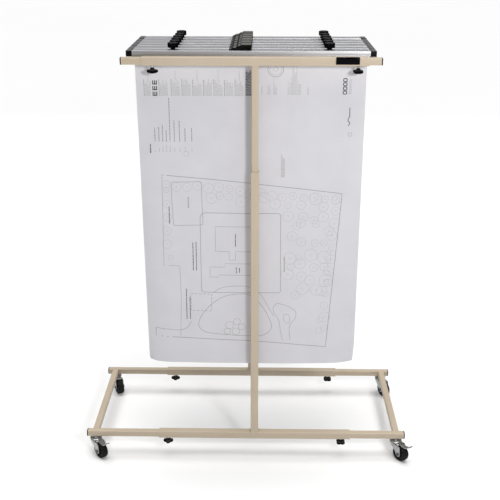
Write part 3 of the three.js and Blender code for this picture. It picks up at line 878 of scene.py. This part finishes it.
def add_wheel(name, place):
    """A rubber tyre with two tread grooves on a ribbed hub."""
    centre = axle_place(place, CASTER_TRAIL, AXLE_HEIGHT)
    side = [(16.4, 8.2), (17.4, 9.5), (19.2, 10), (21.8, 9.9), (23.6, 9), (24.7, 7.2), (25, 4.6)]
    groove = [(24.5, 4.2), (25, 3.8)]
    tyre = Shape()
    tyre.turn_mirrored(side + groove, centre)
    tyre.piece(f"{name}_tyre", RUBBER, name, "wheel_rubber", [name.replace("wheel", "caster_wheel")])
    hub = Shape()
    face = [(3.4, 9.2), (5.4, 9.2), (6.2, 8.6), (6.6, 4.6), (13, 3.8), (14, 7.4), (15, 8.2), (16.5, 8.2)]
    hub.turn_mirrored(face, centre)
    for spoke in range(SPOKES):
        turn = centre @ Matrix.Rotation(2 * math.pi * spoke / SPOKES, 4, "Z")
        hub.prism([(6, -0.9), (14, -0.9), (14, 0.9), (6, 0.9)], -7, 7, "z", 0.3, turn)
    hub.piece(f"{name}_hub", HUB_PLASTIC, name, "black_plastic")


def add_brake_lever(name, place):
    """A pressed toe lever, its ribbed pad rising outwards, turning on a barrel between the legs."""
    top = [(21, 54.2), (38, 53.4), (46.2, 55), (61.6, 65.5)]
    under = [(62.8, 63.7), (47, 52.7), (38, 51.1), (21, 51.9)]
    shape = Shape()
    shape.prism(rounded(top + under, 1.1), -6.9, 6.9, "y", 0.5, place)
    shape.turn([(2.3, -7), (2.6, -6.7), (2.6, 6.7), (2.3, 7)], axle_place(place, 21, 53))
    toe = Vector(top[3])
    inward = (Vector(top[2]) - toe).normalized()
    upward = Vector((inward.y, -inward.x))
    for rib in range(LEVER_RIBS):
        middle = toe + inward * (2.6 + 2.2 * rib)
        corners = [(-0.55, -0.4), (0.55, -0.4), (0.3, 0.5), (-0.3, 0.5)]
        outline = [tuple(middle + inward * a + upward * b) for a, b in corners]
        shape.prism(outline, -5.6, 5.6, "y", 0.2, place)
    shape.piece(f"{name}_lever", ZINC, name, "zinc_plate", [f"{name}_lever"])


def add_casters():
    for corner in ("front_left", "front_right", "rear_left", "rear_right"):
        swivel = joint_place(f"{corner}_caster_swivel")
        wheel = joint_place(f"{corner}_wheel_roll")
        trail = wheel - swivel
        place = at((swivel.x, swivel.y, 0), math.atan2(trail.y, trail.x))
        add_fork(f"{corner}_caster", place)
        add_axle(f"{corner}_caster", place)
        add_wheel(f"{corner}_wheel", place)
        if corner.startswith("front"):
            add_brake_lever(f"{corner}_brake", place)


# ---- clamps


def channel_section():
    """The extrusion's cross section in Y and Z, from its front face and its top."""
    front, back, top = SECTION_INSET, CLAMP_DEPTH - SECTION_INSET, -SECTION_INSET
    section = [(front, -14.4), (2, -14.4), (2, -2.2, 0.6), (15.4, -2.2, 0.6), (15.4, -14.4)]
    section += [(18.4, -14.4), (18.4, -2.2, 0.6), (33.6, -2.2, 0.6), (38, -14.4), (back, -14.4)]
    section += [(back, top, 1.4)]
    for y in (36.5, 22.5, 8.5):
        section += [(y + 0.6, top), (y + 0.35, top - 0.7), (y - 0.35, top - 0.7), (y - 0.6, top)]
    section += [(front, top, 1.4)]
    section += [(front, -10.2), (front + 0.5, -10.5), (front + 0.5, -11.1), (front, -11.4)]
    return rounded(section, 0.12, 3)


def add_end_cap(clamp, side, low, high):
    """A moulded cap: a step where it meets the extrusion, round rims, a recessed end."""
    corners = [(low.y, low.z), (high.y, low.z), (high.y, high.z), (low.y, high.z)]
    outline = rounded(corners, 1.6, 5)
    start = low.x + CAP_LENGTH if side == "left" else high.x - CAP_LENGTH
    levels = [
        (0.0, 0.5), (0.3, 0.1), (2.4, 0.1), (2.6, 0.6), (3.2, 0.6), (3.4, 0.1), (14.4, 0.0),
        (15.4, 0.3), (15.9, 0.9), (16.0, 1.6), (16.0, 2.6), (15.7, 2.9), (15.2, 3.0),
    ]
    rings = [lift(inset(outline, depth), start + OUTWARD[side] * x, "x") for x, depth in levels]
    shape = Shape()
    shape.loft(rings)
    shape.piece(f"{clamp}_{side}_cap", CAP_PLASTIC, clamp, "black_plastic")


def add_channel(clamp):
    """The extrusion, which reaches a little way into its two end caps."""
    low, high = node_box(f"{clamp}_channel")
    ends = (low.x + CAP_LENGTH - CAP_LAP, high.x - CAP_LENGTH + CAP_LAP)
    shape = Shape()
    shape.loft([lift(channel_section(), x, "x", (low.y, high.z)) for x in ends])
    shape.piece(f"{clamp}_extrusion", ALUMINIUM, clamp, "aluminium", [f"{clamp}_channel"])
    for side in OUTWARD:
        add_end_cap(clamp, side, low, high)


def add_clamp_knob(clamp, side, turn):
    """A tall lobed knob with a dished top, on a steel screw."""
    name = f"{clamp}_{side}_knob"
    place = at(joint_place(f"{name}_turn"), turn)
    head = Shape()
    head.lobed([
        (5.6, 0.35, 0.0), (6.5, 0.6, 0.0), (6.5, 3.2, 0.0), (7.6, 3.9, 0.0), (10.6, 4.1, 0.6),
        (12.0, 4.6, 1.0), (12.7, 5.8, 1.0), (12.8, 8.0, 1.0), (12.8, 14.4, 1.0), (12.6, 16.0, 1.0),
        (12.0, 17.0, 0.9), (11.2, 17.5, 0.8), (10.2, 17.4, 0.6), (9.7, 17.0, 0.4), (9.3, 16.4, 0.2),
        (8.6, 16.1, 0.0), (3.4, 16.1, 0.0), (2.8, 16.6, 0.0), (1.2, 16.8, 0.0),
    ], CLAMP_LOBE_DEPTH, CLAMP_LOBES, place)
    head.piece(f"{name}_head", KNOB_PLASTIC, name, "black_plastic", [name])
    screw = Shape()
    screw.thread(2.45, -13.4, 0.4, 0.8, place)
    screw.piece(f"{name}_screw", ZINC, name, "zinc_plate")


def hanger_outline(left, bottom):
    """The hanger's side view in X and Z: a low foot, two ramps with treads, and a flat top."""
    points = [
        (0.3, 0.1, 0.3), (59.8, 0.1, 0.5), (59.8, 14.4, 0.8), (31.8, 14.4, 0.7), (30.8, 12.0, 0.4),
        (24.6, 11.2, 0.6), (19.2, 7.2, 0.6), (12.2, 6.8, 0.6), (6.4, 3.3, 0.6), (1.0, 1.6, 0.8),
    ]
    placed = [(left + x, bottom + z, r) for x, z, r in points]
    return rounded(placed, 0.5, 3)


def add_hanger(clamp):
    """The moulded handle in the middle of a clamp, with a slot right through under its top."""
    low, high = node_box(f"{clamp}_hanger")
    shape = Shape()
    shape.prism(hanger_outline(low.x, low.z), low.y, high.y, "y", 0.7)
    piece = shape.piece(f"{clamp}_hanger_body", HANGER_PLASTIC, clamp, "black_plastic", [f"{clamp}_hanger"])
    corners = [(38.2, 1.7), (53.8, 1.7), (53.8, 6.9), (38.2, 6.9)]
    slot = Shape()
    outline = rounded([(low.x + x, low.z + z) for x, z in corners], 1.2)
    slot.prism(outline, low.y - 2, high.y + 2, "y", 0.2)
    cut_away(piece, slot)


def cut_away(piece, shape):
    """Cuts a shape out of a piece and keeps the result as the piece's mesh."""
    cutter = shape.piece("cutter", HANGER_PLASTIC, piece["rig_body"], "black_plastic")
    modifier = piece.modifiers.new("cut", "BOOLEAN")
    modifier.operation = "DIFFERENCE"
    modifier.solver = "EXACT"
    modifier.object = cutter
    graph = bpy.context.evaluated_depsgraph_get()
    cut = bpy.data.meshes.new_from_object(piece.evaluated_get(graph))
    piece.modifiers.clear()
    piece.data = cut
    bpy.data.objects.remove(cutter)


def add_clamps():
    for index in range(CLAMP_COUNT):
        clamp = f"clamp_{index + 1}"
        add_channel(clamp)
        add_hanger(clamp)
        for side, sign in OUTWARD.items():
            add_clamp_knob(clamp, side, 0.4 * index + sign)
        bar = frame["nodes"][f"{clamp}_press_bar"]
        bar.data.materials.clear()
        bar.data.materials.append(STEEL)


# ---- the hung sheet
# Places on the sheet are (across, down): millimetres from its left edge and from its top edge.


def smooth(value):
    """Eases from 0 to 1."""
    value = min(1.0, max(0.0, value))
    return value * value * (3 - 2 * value)


SHEET_LOW, SHEET_HIGH = node_box("plan_sheet")
SHEET_WIDTH = SHEET_HIGH.x - SHEET_LOW.x
SHEET_LENGTH = SHEET_HIGH.z - SHEET_LOW.z


def paper_point(across, down):
    """Where a place on the sheet hangs: straight in the jaws, then waved, its left edge curled back."""
    free = smooth((down - PAPER_GRIP) / 260)
    wave = 1.5 * math.sin(across / 88 + 0.7) + 0.9 * math.sin(across / 37 + down / 150)
    sag = 1.6 * math.sin(down / 210 + across / 300) - FOOT_FORWARD * (down / SHEET_LENGTH) ** 2
    bend = EDGE_BEND * free * min(1.0, down / 860)
    strip = max(0.0, EDGE_STRIP - across)
    left_curl = max(0.0, 1 - (0.8 * across + SHEET_LENGTH - down) / 26) ** 2
    right_curl = max(0.0, 1 - (1.2 * (SHEET_WIDTH - across) + SHEET_LENGTH - down) / 95) ** 2
    curl = bend * strip**2 + 6 * left_curl + 18 * right_curl
    y = (SHEET_LOW.y + SHEET_HIGH.y) / 2 + free * (wave + sag) + curl
    x = SHEET_LOW.x + across + bend**2 * strip**3 * 2 / 3 + 1.5 * left_curl - 1.5 * right_curl
    z = SHEET_HIGH.z - down + 1.5 * left_curl + 1.5 * right_curl
    return Vector((x, y, z))


def add_paper():
    """The sheet as a closed skin: a front, a back and the cut edge round them."""
    wide = PAPER_COLUMNS + 1
    spots = [
        paper_point(SHEET_WIDTH * i / PAPER_COLUMNS, SHEET_LENGTH * j / PAPER_ROWS)
        for j in range(PAPER_ROWS + 1) for i in range(wide)
    ]
    total = wide * (PAPER_ROWS + 1)
    shape = Shape()
    for offset in (-PAPER_THICKNESS / 2, PAPER_THICKNESS / 2):
        shape.points += [spot + Vector((0, offset, 0)) for spot in spots]
    for j in range(PAPER_ROWS):
        for i in range(PAPER_COLUMNS):
            corner = j * wide + i
            face = (corner, corner + 1, corner + wide + 1, corner + wide)
            shape.faces.append(face)
            shape.faces.append(tuple(total + index for index in reversed(face)))
    rim = list(range(wide))
    rim += [j * wide + wide - 1 for j in range(1, PAPER_ROWS + 1)]
    rim += [PAPER_ROWS * wide + i for i in range(wide - 2, -1, -1)]
    rim += [j * wide for j in range(PAPER_ROWS - 1, 0, -1)]
    for here, there in zip(rim, rim[1:] + rim[:1]):
        shape.faces.append((here, there, total + there, total + here))
    return shape.piece("hung_sheet", PAPER, "clamp_1", "paper", ["plan_sheet"], angle=60)


class Print(Shape):
    """Printed lines that lie on the sheet's front."""

    def line(self, points, width, closed=False):
        """A line through places on the sheet."""
        spots = self.spaced([Vector(p) for p in points], closed)
        rings = []
        for i, spot in enumerate(spots):
            before = spots[i - 1] if i or closed else spot
            after = spots[(i + 1) % len(spots)] if i + 1 < len(spots) or closed else spot
            ahead = (after - before).normalized()
            side = Vector((-ahead.y, ahead.x)) * width / 2
            near = PAPER_THICKNESS / 2 + INK_GAP
            far = near + INK_THICKNESS
            ring = []
            for shift, depth in ((-1, near), (1, near), (1, far), (-1, far)):
                ring.append(paper_point(*(spot + side * shift)) - Vector((0, depth, 0)))
            rings.append(ring)
        self.loft(rings, wrap=closed)

    def spaced(self, points, closed):
        """The points with more between them, so that a line follows the paper's waves."""
        spots = []
        ends = points[1:] + points[:1] if closed else points[1:]
        for here, there in zip(points, ends):
            steps = max(1, math.ceil((there - here).length / INK_STEP))
            spots += [here.lerp(there, step / steps) for step in range(steps)]
        return spots if closed else spots + [points[-1]]

    def curve(self, points, width, closed=True):
        """A smooth line through a few places."""
        knots = [Vector(p) for p in points]
        before, after = (knots[-1:], knots[:2]) if closed else (knots[:1], knots[-1:])
        padded = before + knots + after
        spots = []
        for a, b, c, d in zip(padded, padded[1:], padded[2:], padded[3:]):
            for step in range(CURVE_STEPS):
                t = step / CURVE_STEPS
                straight = b * 2 + (c - a) * t
                bent = (a * 2 - b * 5 + c * 4 - d) * t**2 + (b * 3 - a - c * 3 + d) * t**3
                spots.append((straight + bent) / 2)
        self.line(spots if closed else spots + [knots[-1]], width, closed)

    def ring(self, centre, radius, width, sides=24):
        spots = [(centre[0] + a, centre[1] + b) for a, b in circle(radius, sides)]
        self.line(spots, width, closed=True)

    def words(self, across, bottom, length, width, draw):
        """One line of text as a row of word bars, running up the sheet."""
        down = bottom
        while down > bottom - length:
            word = min(draw.uniform(2.5, 8.5), down - (bottom - length))
            if word > 0.8:
                self.line([(across, down), (across, down - word)], width)
            down -= word + draw.uniform(0.9, 1.5)

    def block(self, across, bottom, lines, pitch, short, long, width, draw):
        """A block of text: lines side by side, all starting at the bottom."""
        for line in range(lines):
            self.words(across + line * pitch, bottom, draw.uniform(short, long), width, draw)


# Where things lie on the plan.
TEXT_BOTTOM = 118
TEXT_BLOCKS = (22, 62, 94, 123, 152, 180, 208, 236, 264)
SIDE_COLUMNS = (
    (333, 2, 20, 48), (351, 3, 16, 34), (366, 4, 16, 50), (404, 5, 20, 48), (416, 5, 56, 100),
    (430, 4, 24, 54), (456, 2, 10, 32),
)
BOLD_COLUMN = (292, 117, 7, 2.3, 60, 74, 1.5)
SIDE_NOTE = (389, 341, 4, 2.8, 52, 68, 2.2)
CORNER_NOTE = (566, 112, 3, 2.6, 30, 42, 1.4)
HEADING = (50, 118)
SEAL = (371, 46)
SEAL_RINGS = ((21, 1.3), (16, 0.7), (6, 0.6))
SHEET_MARKS = 4
SIGNATURE = (
    (570, 148), (570, 160), (570, 172), (567, 177), (566.5, 184), (571, 189), (570, 193), (567, 198),
)
LIST_BOTTOM = 243
LIST_LINES = ((45, 38), (56, 40), (66, 48), (76, 32), (86, 119), (98, 58), (112, 58), (127, 37), (145, 38))
BOUNDARY = (
    (60, 337), (289, 357), (558, 387), (526, 859), (404, 847), (290, 839), (25, 829), (25, 803),
)
STREET = ((25, 803), (60, 806), (96, 808), (118, 800), (131, 780))
WEST_LINE = ((60, 338), (57, 604), (102, 606), (104, 700), (99, 832))
COURT = ((84, 357), (168, 356), (171, 482), (88, 484))
PLOT = ((172, 446), (389, 446), (391, 686), (163, 686), (163, 456))
HOUSE = ((205, 486), (322, 486), (322, 560), (262, 560), (262, 586), (244, 586), (244, 560), (205, 560))
WING = ((189, 608), (232, 608), (232, 597), (320, 597), (320, 632), (214, 632), (214, 639), (189, 639))
DRIVE = (
    (284, 690), (233, 697), (194, 722), (164, 757), (153, 790), (172, 812), (230, 820), (300, 824),
    (345, 820), (366, 796), (358, 765), (338, 728), (312, 700),
)
DRIVE_EDGE = ((196, 688), (220, 672), (258, 666), (300, 668), (332, 690), (352, 722), (372, 760))
DRYING_YARD = ((132, 692), (192, 692), (192, 745), (132, 745))
PATH = ((382, 718), (371, 732), (373, 749), (386, 770), (390, 789), (393, 811), (399, 839))
PATH_EAST = ((382, 718), (410, 727), (432, 740), (437, 754), (434, 768), (423, 782), (418, 799), (421, 835))
POND = ((401, 756), (414, 755), (419, 770), (412, 783), (402, 772))
DRIVE_TREES = ((243, 790, 12), (265, 778, 10), (237, 809, 10), (262, 810, 11), (279, 795, 10))
HEDGES = ((527, 560, 12), (526, 588, 14), (524, 622, 13), (521, 652, 15), (508, 772, 16), (505, 806, 17))
TREE_FIELD = (405, 392, 535, 700)
BOLD_NOTES = (
    (141, 619, 84), (150, 619, 86), (119, 772, 96), (129, 772, 70), (77, 478, 50), (262, 545, 38),
    (264, 626, 18), (273, 624, 14),
)
FINE_NOTES = ((131, 432, 34), (401, 621, 46))


def add_headings(bold, fine, faint, draw):
    """Text blocks, a bold heading mark, a list, a seal and the corner marks along the top."""
    for block, across in enumerate(TEXT_BLOCKS):
        lines = 7 if block == 0 else 9
        fine.words(across - 0.5, TEXT_BOTTOM, 44, 1.6, draw)
        faint.block(across + 3, TEXT_BOTTOM, lines - 1, 2.6, 24, 44, 1.5, draw)
        if block % 2 == 0:
            faint.words(across + 11, TEXT_BOTTOM - 40, 28, 1.6, draw)
    for across, lines, short, long in SIDE_COLUMNS:
        faint.block(across, TEXT_BOTTOM - 4, lines, 2.6, short, long, 1.4, draw)
    bold.block(*BOLD_COLUMN, draw)
    middle, bottom = HEADING
    for start in (bottom, bottom - 15, bottom - 30):
        for across in (middle - 5, middle, middle + 5):
            bold.line([(across, start), (across, start - 11)], 2.6)
        bold.line([(middle - 6.3, start - 1.2), (middle + 6.3, start - 1.2)], 2.4)
    for across, length in LIST_LINES:
        fine.words(across, LIST_BOTTOM, length, 2.2, draw)
        faint.words(across, LIST_BOTTOM + 29, draw.uniform(6, 20), 1.8, draw)
    bold.words(31.5, 276, 25, 2.6, draw)
    faint.ring((129, 277), 7, 1.0)
    for radius, width in SEAL_RINGS:
        fine.ring(SEAL, radius, width, 40)
    faint.block(*SIDE_NOTE, draw)
    for mark in range(SHEET_MARKS):
        low, high = 112 - 11 * mark, 104 - 11 * mark
        corners = [(550.5, low), (559.5, low), (559.5, high), (550.5, high)]
        bold.line(rounded(corners, 2.5), 2.2, closed=True)
    faint.block(*CORNER_NOTE, draw)
    bold.curve(SIGNATURE, 1.8, closed=False)
    faint.ring((573, 221), 5, 2.0)


def add_tree(ink, across, down, radius):
    """A tree symbol: a ring and the trunk's mark."""
    ink.ring((across, down), radius, 0.9, 20)
    ink.ring((across, down), 0.18 * radius, 0.7, 8)


def add_trees(fine, faint, draw):
    """Rows of trees inside the boundary and loose ones over the east garden."""
    for i in range(17):
        t = i / 16
        add_tree(faint, 70 + 470 * t, 362 + 42 * t + draw.uniform(-4, 8), draw.uniform(9, 15))
    for i in range(6):
        add_tree(faint, 74 + draw.uniform(-6, 6), 380 + 40 * i, draw.uniform(7, 15))
    for i in range(12):
        add_tree(faint, 545 - 2.4 * i + draw.uniform(-7, 3), 402 + 36 * i, draw.uniform(9, 16))
    left, top, right, bottom = TREE_FIELD
    for row in range(8):
        for column in range(4):
            across = left + (right - left) * (column + draw.uniform(0.1, 0.9)) / 4
            down = top + (bottom - top) * (row + draw.uniform(0.1, 0.9)) / 8
            add_tree(faint, across, down, draw.uniform(8, 19))
    for across, down, radius in DRIVE_TREES:
        fine.ring((across, down), radius, 0.8)
    for i in range(7):
        across = 190 + 30 * i + draw.uniform(-6, 6)
        add_tree(faint, across, 392 + draw.uniform(-6, 26), draw.uniform(9, 17))


def add_site_plan(bold, fine, faint, draw):
    """A made-up house plot: boundary, street, house, drive, garden paths and planting."""
    fine.line(BOUNDARY, 1.5)
    fine.line(WEST_LINE, 0.9)
    for outline, width in ((rounded(COURT, 6), 1.1), (rounded(PLOT, 8), 1.3), (HOUSE, 1.0), (WING, 1.0)):
        fine.line(outline, width, closed=True)
    for route, width in ((STREET, 1.1), (DRIVE_EDGE, 1.0), (PATH, 1.0), (PATH_EAST, 1.0)):
        fine.curve(route, width, closed=False)
    fine.curve(DRIVE, 1.2)
    fine.curve(POND, 0.9)
    for here, there in zip(DRYING_YARD, DRYING_YARD[1:] + DRYING_YARD[:1]):
        for dash in range(5):
            ends = [Vector(here).lerp(Vector(there), (dash + share) / 5) for share in (0, 0.65)]
            fine.line(ends, 1.2)
    for across, down, size in HEDGES:
        square = [(across + a * size / 2, down + b * size / 2) for a, b in SQUARE]
        faint.line(square, 1.0, closed=True)
    for across, bottom, length in BOLD_NOTES:
        bold.words(across, bottom, length, 2.2, draw)
    for across, bottom, length in FINE_NOTES:
        fine.words(across, bottom, length, 2.4, draw)
    add_trees(fine, faint, draw)


def add_sheet():
    sheet = add_paper()
    draw = random.Random(24)
    bold, fine, faint = Print(), Print(), Print()
    add_headings(bold, fine, faint, draw)
    add_site_plan(bold, fine, faint, draw)
    prints = [
        faint.piece("sheet_faint_print", FAINT_INK, "clamp_1", "paper"),
        fine.piece("sheet_fine_print", FINE_INK, "clamp_1", "paper"),
        bold.piece("sheet_bold_print", BOLD_INK, "clamp_1", "paper"),
    ]


# ---- scene

add_camera()
add_lights()
add_floor()
add_tube_frame()
add_lock_hardware()
add_casters()
add_clamps()
add_sheet()
